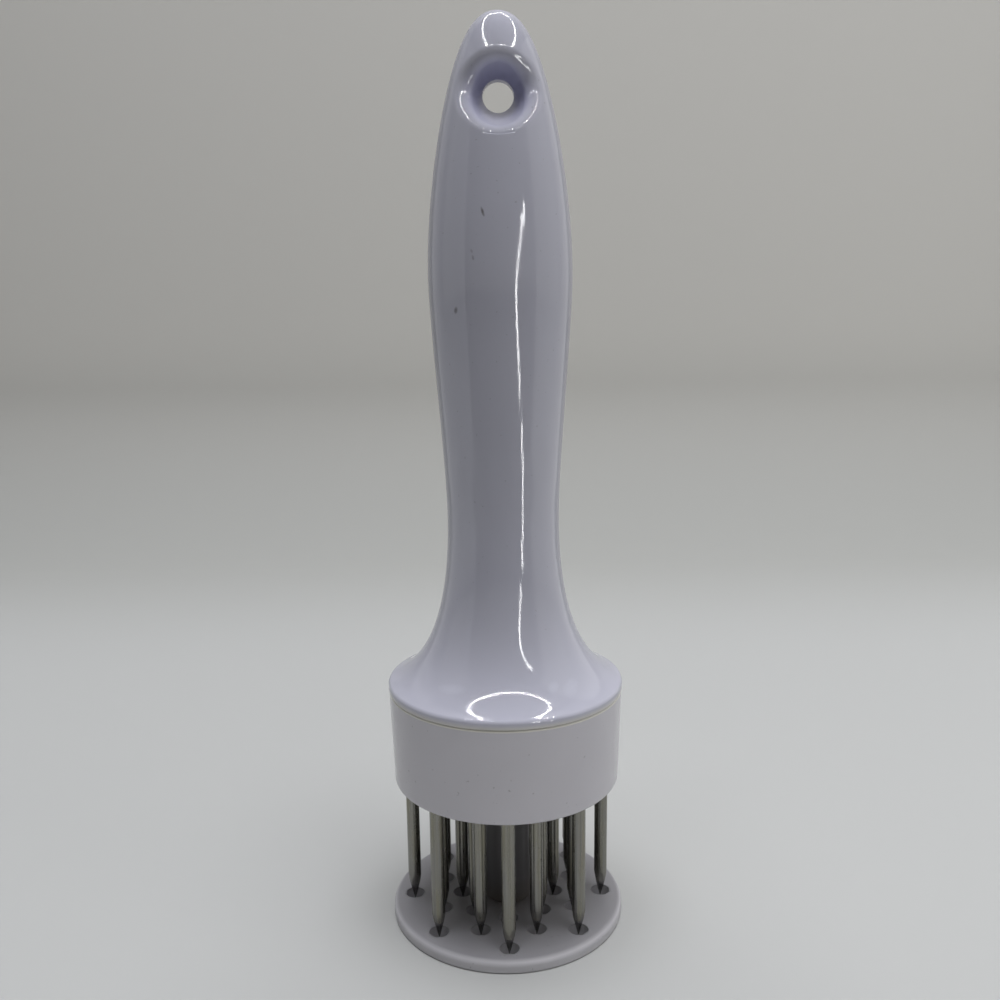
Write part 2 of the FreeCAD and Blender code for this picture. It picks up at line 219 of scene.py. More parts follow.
def outline_piece(name, *outlines):
    """A piece that is still a section: lists of (radius, height) in the XZ plane."""
    points = []
    edges = []
    for outline in outlines:
        first = len(points)
        points += [(radius, 0, height) for radius, height in outline]
        edges += [(i, i + 1) for i in range(first, len(points) - 1)]
    mesh = bpy.data.meshes.new(name)
    mesh.from_pydata(points, edges, [])
    return new_object(name, mesh)


def rounded(*corners):
    """The points of an open outline. Each corner is its radius, its height and how much it is rounded."""
    points = []
    for i, (radius, height, corner_round) in enumerate(corners):
        here = Vector((radius, height))
        if not corner_round:
            points.append(here)
            continue
        back = (Vector(corners[i - 1][:2]) - here).normalized()
        on = (Vector(corners[i + 1][:2]) - here).normalized()
        half = back.angle(on) / 2
        centre = here + (back + on).normalized() * (corner_round / math.sin(half))
        start = here + back * (corner_round / math.tan(half)) - centre
        end = here + on * (corner_round / math.tan(half)) - centre
        for k in range(corner_steps + 1):
            points.append(centre + start.slerp(end, k / corner_steps).normalized() * corner_round)
    return points


def finished(piece, name, sharp=35):
    """Welds a piece, turns its faces outwards, and shades it smooth up to sharp degrees."""
    solid = bmesh.new()
    solid.from_mesh(piece.data)
    bmesh.ops.remove_doubles(solid, verts=solid.verts, dist=weld_distance)
    bmesh.ops.dissolve_degenerate(solid, edges=solid.edges, dist=weld_distance / 4)
    bmesh.ops.recalc_face_normals(solid, faces=solid.faces)
    for face in solid.faces:
        face.smooth = True
        face.material_index = 0
    for edge in solid.edges:
        edge.smooth = edge.calc_face_angle(math.pi) < math.radians(sharp)
    solid.to_mesh(piece.data)
    solid.free()
    material = piece.data.materials[-1]
    piece.data.materials.clear()
    piece.data.materials.append(material)
    weighted = piece.modifiers.new("weighted", "WEIGHTED_NORMAL")
    weighted.keep_sharp = True
    piece.name = name
    return kept_shape(piece)


def surface(tree):
    """Where a point of the surface is on its piece, and that place's X, Y and Z."""
    place = add(tree, "ShaderNodeTexCoord").outputs["Object"]
    return place, add(tree, "ShaderNodeSeparateXYZ", {"Vector": place}).outputs


def calc(tree, operation, *values):
    """The result of a sum on numbers."""
    return add(tree, "ShaderNodeMath", dict(enumerate(values)), operation=operation)


def vector_calc(tree, operation, *values):
    """The result of a sum on vectors."""
    return add(tree, "ShaderNodeVectorMath", dict(enumerate(values)), operation=operation)


def noise(tree, place, scale, detail, roughness=0.5):
    """Soft random patches."""
    values = {"Vector": place, "Scale": scale, "Detail": detail, "Roughness": roughness}
    return add(tree, "ShaderNodeTexNoise", values)


def ramp(tree, value, start, end, low=0.0, high=1.0, kind="LINEAR"):
    """Goes from low to high while the value goes from start to end."""
    values = {"Value": value, "From Min": start, "From Max": end, "To Min": low, "To Max": high}
    return add(tree, "ShaderNodeMapRange", values, interpolation_type=kind)


def blend(tree, share, under, over):
    """A colour between two."""
    values = {"Factor": share, 6: under, 7: over}
    return add(tree, "ShaderNodeMix", values, data_type="RGBA").outputs[2]


def bump(tree, height, distance):
    """A normal that follows small heights."""
    return add(tree, "ShaderNodeBump", {"Height": height, "Distance": distance, "Strength": 1.0})


def moulded_skin_group():
    """What moulded plastic shows: faint clouding, dirt specks, smudged gloss and a rippled skin."""
    inputs = dict.fromkeys(("Colour", "Cloud Colour", "Speck Colour"), "Color")
    inputs.update(dict.fromkeys(("Cloud Size", "Speck Size", "Specks", "Gloss"), "Float"))
    inputs.update(dict.fromkeys(("Smudge", "Smudge Size", "Ripple Size", "Ripple Height"), "Float"))
    outputs = {"Colour": "Color", "Roughness": "Float", "Normal": "Vector"}
    tree, given = new_tree("moulded_skin", "ShaderNodeTree", inputs, outputs)
    place = surface(tree)[0]

    def patches(size, detail, roughness=0.5):
        return noise(tree, place, calc(tree, "DIVIDE", 1.0, given[size]), detail, roughness)

    cloud = ramp(tree, patches("Cloud Size", 3), 0.35, 0.7)
    clouded = blend(tree, cloud, given["Colour"], given["Cloud Colour"])
    speck = ramp(tree, patches("Speck Size", 1), 0.74, 0.8)
    specks = calc(tree, "MULTIPLY", speck, given["Specks"])
    smudge = ramp(tree, patches("Smudge Size", 4, 0.6), 0.42, 0.75)
    results = {
        "Colour": blend(tree, specks, clouded, given["Speck Colour"]),
        "Roughness": calc(tree, "MULTIPLY_ADD", smudge, given["Smudge"], given["Gloss"]),
        "Normal": bump(tree, patches("Ripple Size", 2), given["Ripple Height"]),
    }
    return close_tree(tree, results)


def new_material(name, group, values, metallic=0.0, subsurface=0.0, ior=1.49):
    """A material with a group's colour, roughness and normal, and the group's node in it."""
    material = bpy.data.materials.new(name)
    material.use_nodes = True
    tree = material.node_tree
    skin = add(tree, "ShaderNodeGroup", values, node_tree=group)
    shader_values = {
        "Base Color": skin.outputs["Colour"],
        "Roughness": skin.outputs["Roughness"],
        "Normal": skin.outputs["Normal"],
        "Metallic": metallic,
        "IOR": ior,
        "Subsurface Weight": subsurface,
        "Subsurface Scale": 2 * mm,
        "Subsurface Radius": (1, 1, 1),
    }
    feed(tree, tree.nodes["Principled BSDF"], shader_values)
    return material, skin


moulded_skin = moulded_skin_group()


def plastic(name, colour, values, subsurface=0.0):
    """A moulded plastic: the skin group with this piece's own values."""
    sizes = {
        "Colour": colour,
        "Cloud Colour": [cloud_shade * part for part in colour[:3]] + [1],
        "Cloud Size": 14 * mm,
        "Speck Colour": speck_colour,
        "Speck Size": 1.1 * mm,
        "Specks": 0.25,
        "Gloss": 0.3,
        "Smudge": 0.12,
        "Smudge Size": 9 * mm,
        "Ripple Size": 5 * mm,
        "Ripple Height": 0.004 * mm,
        **values,
    }
    return new_material(name, moulded_skin, sizes, subsurface=subsurface)[0]


def tint(material, mask, colour, strength=1.0):
    """Lays another colour over a material, as much as the mask times the strength."""
    tree = material.node_tree
    shader = tree.nodes["Principled BSDF"]
    under = shader.inputs["Base Color"].links[0].from_socket
    share = calc(tree, "MULTIPLY", mask, strength)
    feed(tree, shader, {"Base Color": blend(tree, share, under, colour)})


def guard_material():
    """Satin white plastic: painted shade on its top face, dirt and painted shade round the post's foot."""
    values = {"Gloss": 0.42, "Smudge": 0.15, "Specks": 0.5, "Ripple Size": 2.5 * mm}
    material = plastic("satin_guard_plastic", guard_colour, values, subsurface=0.1)
    tree = material.node_tree
    place, axes = surface(tree)
    level = vector_calc(tree, "MULTIPLY", place, (1, 1, 0))
    radius = vector_calc(tree, "LENGTH", level).outputs["Value"]
    # Painted shade: the top face is darker, as under the cup.
    tint(material, ramp(tree, axes["Z"], top_shade_bottom, top_shade_top, high=0.8), guard_top_shade)
    # Brown dirt and painted shade round the post's foot, in patches.
    near = ramp(tree, radius, dirt_shade_inner, dirt_shade_outer, 0.75, 0.0)
    tint(material, near, guard_dirt_and_shade, noise(tree, place, 260, 4))
    return material


turned = turned_tree()
ring_of_copies = ring_tree()
level_face = level_face_tree()

ring_count = 8
rings = {}
for ring_name in ("inner", "middle", "outer"):
    low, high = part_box(f"needle_{ring_name}_1")
    centre = (low + high) / 2
    rings[ring_name] = (math.hypot(centre.x, centre.y), math.atan2(centre.y, centre.x))


def add_needle_holes(plate, hole):
    """Adds the skin of a hole to a plate in line with every needle, and removes the loose one."""
    shaped(hole, turned, steps=hole_steps)
    for radius, first_angle in rings.values():
        shaped(plate, ring_of_copies, piece=hole, count=ring_count, radius=radius, first_angle=first_angle)
    bpy.data.objects.remove(hole)


guard_plate = outline_piece(
    "guard_section",
    rounded(
        (guard_radius - 2 * guard_top_round, guard_top, 0),
        (guard_radius, guard_top, guard_top_round),
        (guard_radius, 0, guard_bottom_round),
        (guard_radius - 2 * guard_bottom_round, 0, 0),
    ),
    rounded(
        (guard_bore_radius, guard_top, 0),
        (guard_bore_radius, sink_radius - guard_bore_radius, 0),
        (sink_radius, 0, edge_round),
        (sink_radius + 2 * edge_round, 0, 0),
    ),
)
guard_hole = outline_piece(
    "guard_hole",
    rounded(
        (guard_hole_radius + 2 * guard_hole_round, guard_top, 0),
        (guard_hole_radius, guard_top, guard_hole_round),
        (guard_hole_radius, 0, guard_hole_round),
        (guard_hole_radius + 2 * guard_hole_round, 0, 0),
    ),
)
shaped(guard_plate, turned, steps=round_steps)
add_needle_holes(guard_plate, guard_hole)
shaped(guard_plate, level_face, height=guard_top)
shaped(guard_plate, level_face, height=0.0, material=guard_material())
finished(guard_plate, "guard_plate")
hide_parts("guard_disc")
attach(guard_plate, "guard")

# ---- Guide post ----
# A moulded plastic tube, coloured dull grey as painted shade for the deep shade it stands in among the
# needles.
# It stands on the guard plate and slides in the cup's hub. The spring sits in its pocket, its collar stops
# on the hub, and juices have stained its foot.

post_low, post_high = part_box("guide_post")
post_radius = 5.25 * mm
collar_radius = post_high.x
collar_height = 2 * mm
pocket_radius = 3.9 * mm
pocket_floor = 14 * mm
pilot_radius = 1.55 * mm
pilot_top = 12.3 * mm
post_chamfer = 0.25 * mm
stain_height = 6 * mm

# The post's dark grey is painted shade, for the deep shade among the needles under the cup.
post_shade_colour = (0.165, 0.16, 0.165, 1)
post_stain = (0.13, 0.1, 0.07, 1)

post_steps = 96


def post_material():
    """Plastic coloured dull grey as painted shade, and stained brown towards its foot."""
    values = {"Gloss": 0.34, "Smudge": 0.2, "Specks": 0.3, "Cloud Size": 8 * mm}
    material = plastic("stained_post_plastic", post_shade_colour, values)
    tree = material.node_tree
    place, axes = surface(tree)
    low_down = ramp(tree, axes["Z"], post_low.z, post_low.z + stain_height, 1.0, 0.0)
    tint(material, low_down, post_stain, noise(tree, place, 300, 3))
    return material


guide_post = outline_piece(
    "guide_post_section",
    rounded(
        (0, pilot_top, 0),
        (pilot_radius, pilot_top, 0),
        (pilot_radius, post_low.z, 0),
        (post_radius, post_low.z, post_chamfer),
        (post_radius, post_high.z - collar_height, 0),
        (collar_radius, post_high.z - collar_height, post_chamfer),
        (collar_radius, post_high.z, post_chamfer),
        (pocket_radius, post_high.z, post_chamfer),
        (pocket_radius, pocket_floor, 0),
        (0, pocket_floor, 0),
    ),
)
shaped(guide_post, turned, steps=post_steps, material=post_material())
finished(guide_post, "post")
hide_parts("guide_post")
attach(guide_post, "guard")

# ---- Needle cup ----
# The flared cup that holds the needles: glossy white plastic with a thick drilled floor, a groove inside for
# the handle's snap bead, and a hub that guides the post.

cup_low, cup_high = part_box("needle_holder")
cup_top_radius = cup_high.x
cup_bottom_radius = cup_top_radius - 0.7 * mm
cup_inner_radius = cup_bottom_radius - 1.6 * mm
cup_floor = cup_low.z + 6 * mm
hub_radius = 7.98 * mm
hub_bore_radius = 5.33 * mm
hub_top = cup_floor + 12 * mm
groove_height = cup_high.z - 5.7 * mm
groove_reach = 1.1 * mm
groove_depth = 0.4 * mm
cup_bottom_round = 0.6 * mm
cup_top_round = 0.3 * mm
needle_hole_radius = 1.55 * mm
pilot_hole_radius = 1.15 * mm
pilot_hole_bottom = cup_floor - 5.3 * mm
pilot_hole_count = 4

cup_colour = (0.615, 0.6, 0.64, 1)
# The pale band along the cup's top edge is a painted highlight, where the rounded edge catches the light.
cup_edge_highlight = (0.78, 0.76, 0.7, 1)
cup_highlight_band = 0.42 * mm

needle_cup = outline_piece(
    "cup_section",
    rounded(
        (cup_bottom_radius - 2 * cup_bottom_round, cup_low.z, 0),
        (cup_bottom_radius, cup_low.z, cup_bottom_round),
        (cup_top_radius, cup_high.z, cup_top_round),
        (cup_inner_radius, cup_high.z, edge_round),
        (cup_inner_radius, groove_height + groove_reach, 0),
        (cup_inner_radius + groove_depth, groove_height, groove_depth),
        (cup_inner_radius, groove_height - groove_reach, 0),
        (cup_inner_radius, cup_floor, 0),
    ),
    rounded(
        (hub_radius, cup_floor, 0),
        (hub_radius, hub_top, edge_round),
        (hub_bore_radius, hub_top, edge_round),
        (hub_bore_radius, cup_low.z, edge_round),
        (hub_bore_radius + 2 * edge_round, cup_low.z, 0),
    ),
)
needle_hole = outline_piece(
    "needle_hole",
    rounded(
        (needle_hole_radius, cup_floor, 0),
        (needle_hole_radius, cup_low.z, edge_round),
        (needle_hole_radius + 2 * edge_round, cup_low.z, 0),
    ),
)
pilot_hole = outline_piece(
    "pilot_hole",
    [(pilot_hole_radius, cup_floor), (pilot_hole_radius, pilot_hole_bottom), (0, pilot_hole_bottom)],
)
shaped(needle_cup, turned, steps=round_steps)
add_needle_holes(needle_cup, needle_hole)
shaped(pilot_hole, turned, steps=hole_steps)
shaped(needle_cup, ring_of_copies, piece=pilot_hole, count=pilot_hole_count, radius=rings["middle"][0])
bpy.data.objects.remove(pilot_hole)


def cup_material():
    """Glossy white plastic, with a painted highlight as a pale band along its top edge."""
    values = {"Gloss": 0.14, "Smudge": 0.06, "Specks": 0.3}
    values.update({"Ripple Size": 9 * mm, "Ripple Height": 0.002 * mm})
    material = plastic("glossy_cup_plastic", cup_colour, values, subsurface=0.12)
    tree = material.node_tree
    height = surface(tree)[1]["Z"]
    # Painted highlight: a pale band just under the top edge.
    edge = ramp(tree, height, cup_high.z - 1.2 * cup_highlight_band, cup_high.z - cup_highlight_band)
    tint(material, edge, cup_edge_highlight)
    return material


shaped(needle_cup, level_face, height=cup_floor)
shaped(needle_cup, level_face, height=cup_low.z, material=cup_material())
finished(needle_cup, "needle_cup")
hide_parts("needle_holder")
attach(needle_cup, "handle_assembly")

# ---- Needles ----
# Hard steel pins in three rings of eight, dull and streaked from drawing. Each is ground on four sides
# towards its tip, then to a short darker cone, and has an upset head that lies on the cup's floor.

needle_low, needle_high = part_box("needle_outer_1")
needle_radius = 1.5 * mm
needle_head_radius = 1.9 * mm
needle_head_bottom = needle_high.z - 1.2 * mm
point_radius = 0.1 * mm
cone_height = 4 * mm
cone_radius = 1.125 * mm
bevel_height = 2.2 * mm
bevel_bow = 0.62
grind_height = 2.6 * mm
grind_depth = 0.93
cone_fade = 0.25 * mm

steel_colour = (0.28, 0.275, 0.255, 1)
steel_dull_colour = (0.15, 0.15, 0.145, 1)
steel_olive = (0.25, 0.235, 0.165, 1)
ground_steel = (0.17, 0.165, 0.165, 1)

needle_sides = 32
cone_rows = (0, 0.9 * mm, 1.9 * mm, 2.9 * mm, 3.5 * mm)
ground_rows = 14
shaft_row = 12 * mm


def ground_side(height, angle):
    """The distance of the nearest ground side in that direction."""
    share = min(1, max(0, (height - cone_height) / grind_height))
    side = cone_radius * grind_depth + (needle_radius - cone_radius * grind_depth) * share
    off = (angle + math.pi / 4) % (math.pi / 2) - math.pi / 4
    return side / math.cos(off)


def needle_radius_at(height, angle):
    """How far the needle's skin is from its middle, at a height above the point and an angle round it."""
    if height > cone_height + grind_height:
        return needle_radius
    radius = needle_radius
    if height <= cone_height:
        radius = point_radius + (cone_radius - point_radius) * height / cone_height
    elif height < cone_height + bevel_height:
        share = (height - cone_height) / bevel_height
        bow = 2 * (2 * bevel_bow - 1) * share * (1 - share)
        radius = cone_radius + (needle_radius - cone_radius) * (share + bow)
    return min(radius, ground_side(height, angle))


def bridge(solid, loops):
    """Adds the faces between each closed loop of points and the next."""
    for first, second in zip(loops, loops[1:]):
        for k in range(len(first)):
            after = (k + 1) % len(first)
            solid.faces.new((first[k], first[after], second[after], second[k]))


def needle_mesh():
    """One needle, standing at the origin at its real height."""
    angles = [2 * math.pi * k / needle_sides for k in range(needle_sides)]
    ground_start = cone_height - 0.2 * mm
    ground_reach = grind_height + 0.3 * mm
    rows = list(cone_rows)
    rows += [ground_start + k * ground_reach / ground_rows for k in range(ground_rows + 1)]
    rows += [shaft_row, needle_head_bottom - needle_low.z]
    levels = [(needle_low.z + row, [needle_radius_at(row, angle) for angle in angles]) for row in rows]
    head = [needle_head_radius] * needle_sides
    levels += [(needle_head_bottom, head), (needle_high.z, head)]
    solid = bmesh.new()
    loops = []
    for height, radii in levels:
        points = [(r * math.cos(a), r * math.sin(a), height) for r, a in zip(radii, angles)]
        loops.append([solid.verts.new(point) for point in points])
    bridge(solid, loops)
    solid.faces.new(loops[0][::-1])
    solid.faces.new(loops[-1])
    mesh = bpy.data.meshes.new("needle")
    solid.to_mesh(mesh)
    solid.free()
    return mesh


def drawn_steel_group():
    """What drawn wire shows: streaks along it, dull patches, and a fine grain that breaks its gloss."""
    inputs = {"Colour": "Color", "Dull Colour": "Color", "Stretch": "Vector"}
    inputs.update(dict.fromkeys(("Streaks", "Gloss", "Wear", "Scratch Height"), "Float"))
    outputs = {"Colour": "Color", "Roughness": "Float", "Normal": "Vector", "Patches": "Float"}
    tree, given = new_tree("drawn_steel", "ShaderNodeTree", inputs, outputs)
    place = surface(tree)[0]
    streak = noise(tree, vector_calc(tree, "MULTIPLY", place, given["Stretch"]), 1.0, 2)
    patch = noise(tree, vector_calc(tree, "MULTIPLY", place, (700, 700, 60)), 1.0, 2)
    streaks = ramp(tree, streak, 0.35, 0.7, high=given["Streaks"])
    patches = ramp(tree, patch, 0.4, 0.68)
    results = {
        "Colour": blend(tree, streaks, given["Colour"], given["Dull Colour"]),
        "Roughness": calc(tree, "MULTIPLY_ADD", patches, given["Wear"], given["Gloss"]),
        "Normal": bump(tree, streak, given["Scratch Height"]),
        "Patches": patches,
    }
    return close_tree(tree, results)


drawn_steel = drawn_steel_group()


def steel(name, colour, dull, values):
    """A drawn or turned steel, and its wire group's node with this piece's own values."""
    sizes = {
        "Colour": colour,
        "Dull Colour": dull,
        "Stretch": (3000, 3000, 14),
        "Streaks": 0.8,
        "Gloss": 0.22,
        "Wear": 0.1,
        "Scratch Height": 0.0015 * mm,
        **values,
    }
    return new_material(name, drawn_steel, sizes, metallic=1.0, ior=2.5)


def needle_material():
    """Dull drawn steel with an olive cast in patches, and a darker ground cone."""
    material, wire = steel("needle_steel_finish", steel_colour, steel_dull_colour, {"Streaks": 0.7})
    tree = material.node_tree
    tint(material, wire.outputs["Patches"], steel_olive, 0.6)
    place, axes = surface(tree)
    shifted = calc(tree, "MULTIPLY_ADD", noise(tree, place, 900, 2), cone_fade, axes["Z"])
    cone_top = needle_low.z + cone_height
    tint(material, ramp(tree, shifted, cone_top, cone_top + cone_fade, 1.0, 0.0), ground_steel)
    return material


one_needle = new_object("one_needle", needle_mesh())
needle_finish = needle_material()
for seed, (ring_name, (ring_radius, first_angle)) in enumerate(rings.items(), 3):
    needle_ring = outline_piece(f"{ring_name}_ring")
    shaped(
        needle_ring,
        ring_of_copies,
        piece=one_needle,
        count=ring_count,
        radius=ring_radius,
        first_angle=first_angle,
        spin=2 * math.pi,
        seed=seed,
        material=needle_finish,
    )
    finished(needle_ring, f"{ring_name}_needles", sharp=28)
    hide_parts(*[f"needle_{ring_name}_{k + 1}" for k in range(ring_count)])
    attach(needle_ring, "handle_assembly")
bpy.data.objects.remove(one_needle)

# ---- Backing plate, screws and spring guide ----
# The plate that keeps the needle heads down, its four pan-head screws, the countersunk screw under the
# guard, and the headed rod inside the spring. All are plain, unseen pieces, in plastic or zinced steel.

plate_colour = (0.36, 0.36, 0.37, 1)
guide_colour = (0.62, 0.6, 0.55, 1)
zinc_colour = (0.58, 0.59, 0.6, 1)
zinc_dull_colour = (0.4, 0.41, 0.43, 1)


def refinish(node, material):
    """Gives a CAD node another material."""
    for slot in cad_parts[node].material_slots:
        slot.material = material


plate_look = {"Gloss": 0.5, "Cloud Size": 6 * mm, "Specks": 0.4}
guide_look = {"Gloss": 0.38, "Cloud Size": 5 * mm}
zinc_look = {"Stretch": (900, 900, 5000), "Gloss": 0.3}
screw_finish = steel("zinced_screw_steel", zinc_colour, zinc_dull_colour, zinc_look)[0]
refinish("needle_plate", plastic("backing_plate_plastic", plate_colour, plate_look))
refinish("spring_guide", plastic("spring_guide_plastic", guide_colour, guide_look, subsurface=0.15))
refinish("plate_screws", screw_finish)
refinish("guard_screw", screw_finish)

# ---- Return spring ----
# A compression spring of bright hard wire between the post's pocket and the guide's head. Its end turns are
# closed up and ground flat. It is built at its rest length; on the tool it shortens by the guard's travel.

spring_low, spring_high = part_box("return_spring")
wire_radius = 0.4 * mm
wire_sides = 12
coil_radius = spring_high.x - wire_radius
spring_turns = 22
turn_steps = 36
closed_turns = 1.0
spring_seat_gap = 0.03 * mm

spring_colour = (0.5, 0.5, 0.5, 1)
spring_dull_colour = (0.3, 0.29, 0.27, 1)


def spring_tree():
    """A round wire wound from a bottom to a top height, with closed ends that are ground flat."""
    lengths = ("Coil Radius", "Wire Radius", "Turns", "Bottom", "Top", "Closed")
    sizes = {**dict.fromkeys(lengths, "Float"), "Points": "Int"}
    tree, given = new_shape_tree("ground_spring", sizes)

    def work(operation, *values):
        return calc(tree, operation, *values)

    line = add(tree, "GeometryNodeCurvePrimitiveLine", {"Start": (0, 0, 0), "End": (0, 0, 1)})
    wire = add(tree, "GeometryNodeResampleCurve", {"Curve": line, "Count": given["Points"]})
    here = work("MULTIPLY", add(tree, "GeometryNodeSplineParameter"), given["Turns"])
    angle = work("MULTIPLY", here, 2 * math.pi)
    # The closed turns at each end rise by one wire a turn. The rest share the height that is left.
    wire_width = work("MULTIPLY", given["Wire Radius"], 2.0)
    low_turns = work("MINIMUM", here, given["Closed"])
    high_start = work("SUBTRACT", given["Turns"], given["Closed"])
    high_turns = work("MAXIMUM", work("SUBTRACT", here, high_start), 0.0)
    free_turns = work("SUBTRACT", work("SUBTRACT", here, low_turns), high_turns)
    closed_rise = work("MULTIPLY", work("ADD", low_turns, high_turns), wire_width)
    height = work("SUBTRACT", given["Top"], given["Bottom"])
    all_closed = work("MULTIPLY", given["Closed"], 2.0)
    free_height = work("SUBTRACT", height, work("MULTIPLY", all_closed, wire_width))
    all_free = work("SUBTRACT", given["Turns"], all_closed)
    free_rise = work("MULTIPLY", work("DIVIDE", free_turns, all_free), free_height)
    path = {
        "X": work("MULTIPLY", work("COSINE", angle), given["Coil Radius"]),
        "Y": work("MULTIPLY", work("SINE", angle), given["Coil Radius"]),
        "Z": work("ADD", given["Bottom"], work("ADD", closed_rise, free_rise)),
    }
    place = add(tree, "ShaderNodeCombineXYZ", path)
    wound = add(tree, "GeometryNodeSetPosition", {"Geometry": wire, "Position": place})
    upright = add(tree, "GeometryNodeSetCurveNormal", {"Curve": wound}, mode="Z_UP")
    section_sizes = {"Resolution": wire_sides, "Radius": given["Wire Radius"]}
    section = add(tree, "GeometryNodeCurvePrimitiveCircle", section_sizes)
    swept = {"Curve": upright, "Profile Curve": section, "Fill Caps": True}
    solid = add(tree, "GeometryNodeCurveToMesh", swept)
    skin = add(tree, "ShaderNodeSeparateXYZ", {"Vector": add(tree, "GeometryNodeInputPosition")}).outputs
    level = work("MINIMUM", work("MAXIMUM", skin["Z"], given["Bottom"]), given["Top"])
    ground = add(tree, "ShaderNodeCombineXYZ", {"X": skin["X"], "Y": skin["Y"], "Z": level})
    flat = add(tree, "GeometryNodeSetPosition", {"Geometry": solid, "Position": ground})
    return close_shape_tree(tree, given, flat)


spring_look = {"Stretch": (300, 300, 2200)}
return_spring = outline_piece("spring_line")
shaped(
    return_spring,
    spring_tree(),
    coil_radius=coil_radius,
    wire_radius=wire_radius,
    turns=float(spring_turns),
    bottom=spring_low.z + spring_seat_gap,
    top=spring_high.z,
    closed=closed_turns,
    points=spring_turns * turn_steps + 1,
    material=steel("spring_wire_steel", spring_colour, spring_dull_colour, spring_look)[0],
)
finished(return_spring, "spring", sharp=50)
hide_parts("return_spring")
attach(return_spring, "handle_assembly")
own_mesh(return_spring)

# ---- Handle ----
# One glossy lavender-white moulding: a bell that caps the cup, a narrow neck, a swollen grip and a rounded
# crown. A hanging hole opens through it in two funnels, and a skirt with a snap bead holds it in the cup.

handle_low, handle_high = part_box("handle")
bell_radius = handle_high.x
seam_radius = bell_radius - 0.6 * mm
seam_top = cup_high.z + 0.15 * mm
bell_rim = seam_top + 1.78 * mm
bell_rim_round = 0.9 * mm
neck_radius = 12.39 * mm
neck_height = cup_high.z + 39.5 * mm
belly_radius = 15.4 * mm
belly_height = neck_height + 52.3 * mm
crown_top = handle_high.z
hole_height = crown_top - 16.7 * mm
hole_radius = 3.2 * mm
hole_land = 1.5 * mm
hole_flare = 0.41
hole_round = 2.4 * mm
throat_round = 0.3 * mm
skirt_radius = cup_inner_radius - 0.1 * mm
skirt_inner_radius = skirt_radius - 2.3 * mm
bead_height = groove_height
bead_reach = 1 * mm
bead_depth = 0.4 * mm
cavity_bottom = bell_rim - 3 * mm
cavity_top = cavity_bottom + 24 * mm
core_radius = 8.75 * mm
ledge_height = 88 * mm
upper_core_radius = 6.95 * mm
upper_core_end_radius = 5.95 * mm
core_top = 166.3 * mm
core_end_round = 0.5 * mm

# How full each stretch of the outline is, as shares of its rise or of its width
shoulder_reach = 0.724
shoulder_lift = 0.106
neck_lower_ease = 0.504
neck_upper_ease = 0.243
belly_lower_ease = 0.207
belly_upper_ease = 0.393
crown_side_width = 0.644
crown_side_drop = 0.148
crown_top_width = 0.43

row_height = 0.6 * mm
crown_rows = 110
cavity_rows = 20
rim_steps = 12
window_below = 11.5 * mm
window_above = 10 * mm
window_half_angle = math.radians(63.75)
skin_steps = 60
lip_steps = 16
lip_tries = 18
throat_steps = 4
flat_steps = 12
flat_ease = 1.3
wall_steps = 6

handle_colour = (0.465, 0.465, 0.535, 1)
# The bell is painted lighter than the grip, as painted light.
bell_painted_light = (0.52, 0.52, 0.6, 1)
# The band of the bell's rim just above the seam is lighter still, as painted light.
rim_band_painted_light = (0.66, 0.64, 0.6, 1)
# The funnels are deeper violet, as painted shade.
funnel_shade_colour = (0.42, 0.42, 0.57, 1)
funnel_shade_inner = 4 * mm
funnel_shade_outer = 8 * mm
bell_light_bottom = 62 * mm
bell_light_fade = 20 * mm
rim_light_bottom = seam_top + 0.2 * mm
rim_light_top = seam_top + 1.1 * mm
mark_colour = (0.1, 0.09, 0.085, 1)
# The pale marks on the bell's shoulder are painted glints of the lamps.
glint_colour = (0.68, 0.69, 0.78, 1)

# Each mark's place across and up, its width and length in mm, its tilt in degrees, its colour and strength
marks = (
    (-3.45, 159.6, 0.6, 2.0, 16, mark_colour, 0.8),
    (-5.75, 152.1, 0.5, 0.9, 20, mark_colour, 0.3),
    (-5.5, 150.8, 0.5, 1.1, 10, mark_colour, 0.4),
    (-9.2, 140.5, 0.8, 1.5, -8, mark_colour, 0.75),
    # The last three, in the glint colour, are painted glints on the bell's shoulder; the others are dark
    # specks.
    (-11.4, 61.5, 6, 1.6, 8, glint_colour, 0.3),
    (10, 61.8, 2.5, 1.8, 0, glint_colour, 0.3),
    (13.8, 61, 3.5, 2.6, 0, glint_colour, 0.25),
)


def curve(share, *poles):
    """A point of a Bezier curve."""
    points = [Vector(pole) for pole in poles]
    while len(points) > 1:
        points = [a.lerp(b, share) for a, b in zip(points, points[1:])]
    return points[0]


def stretch(*poles):
    """The points of one stretch of the outline, without its first."""
    rows = max(4, round(abs(poles[-1][1] - poles[0][1]) / row_height))
    return [curve(k / rows, *poles) for k in range(1, rows + 1)]


def handle_outline():
    """The handle's outside, from above the bell's rounded rim to the top."""
    width = bell_radius - neck_radius
    rise = neck_height - bell_rim
    grip_rise = belly_height - neck_height
    crown_rise = crown_top - belly_height
    neck = (neck_radius, neck_height)
    belly = (belly_radius, belly_height)
    shoulder = stretch(
        (bell_radius, bell_rim),
        (bell_radius - shoulder_reach * width, bell_rim + shoulder_lift * rise),
        (neck_radius, neck_height - neck_lower_ease * rise),
        neck,
    )
    grip = stretch(
        neck,
        (neck_radius, neck_height + neck_upper_ease * grip_rise),
        (belly_radius, belly_height - belly_lower_ease * grip_rise),
        belly,
    )
    crown_poles = (
        belly,
        (belly_radius, belly_height + belly_upper_ease * crown_rise),
        (crown_side_width * belly_radius, crown_top - crown_side_drop * crown_rise),
        (crown_top_width * belly_radius, crown_top),
        (0, crown_top),
    )
    crown = [curve(k / crown_rows, *crown_poles) for k in range(1, crown_rows + 1)]
    return shoulder + grip + crown


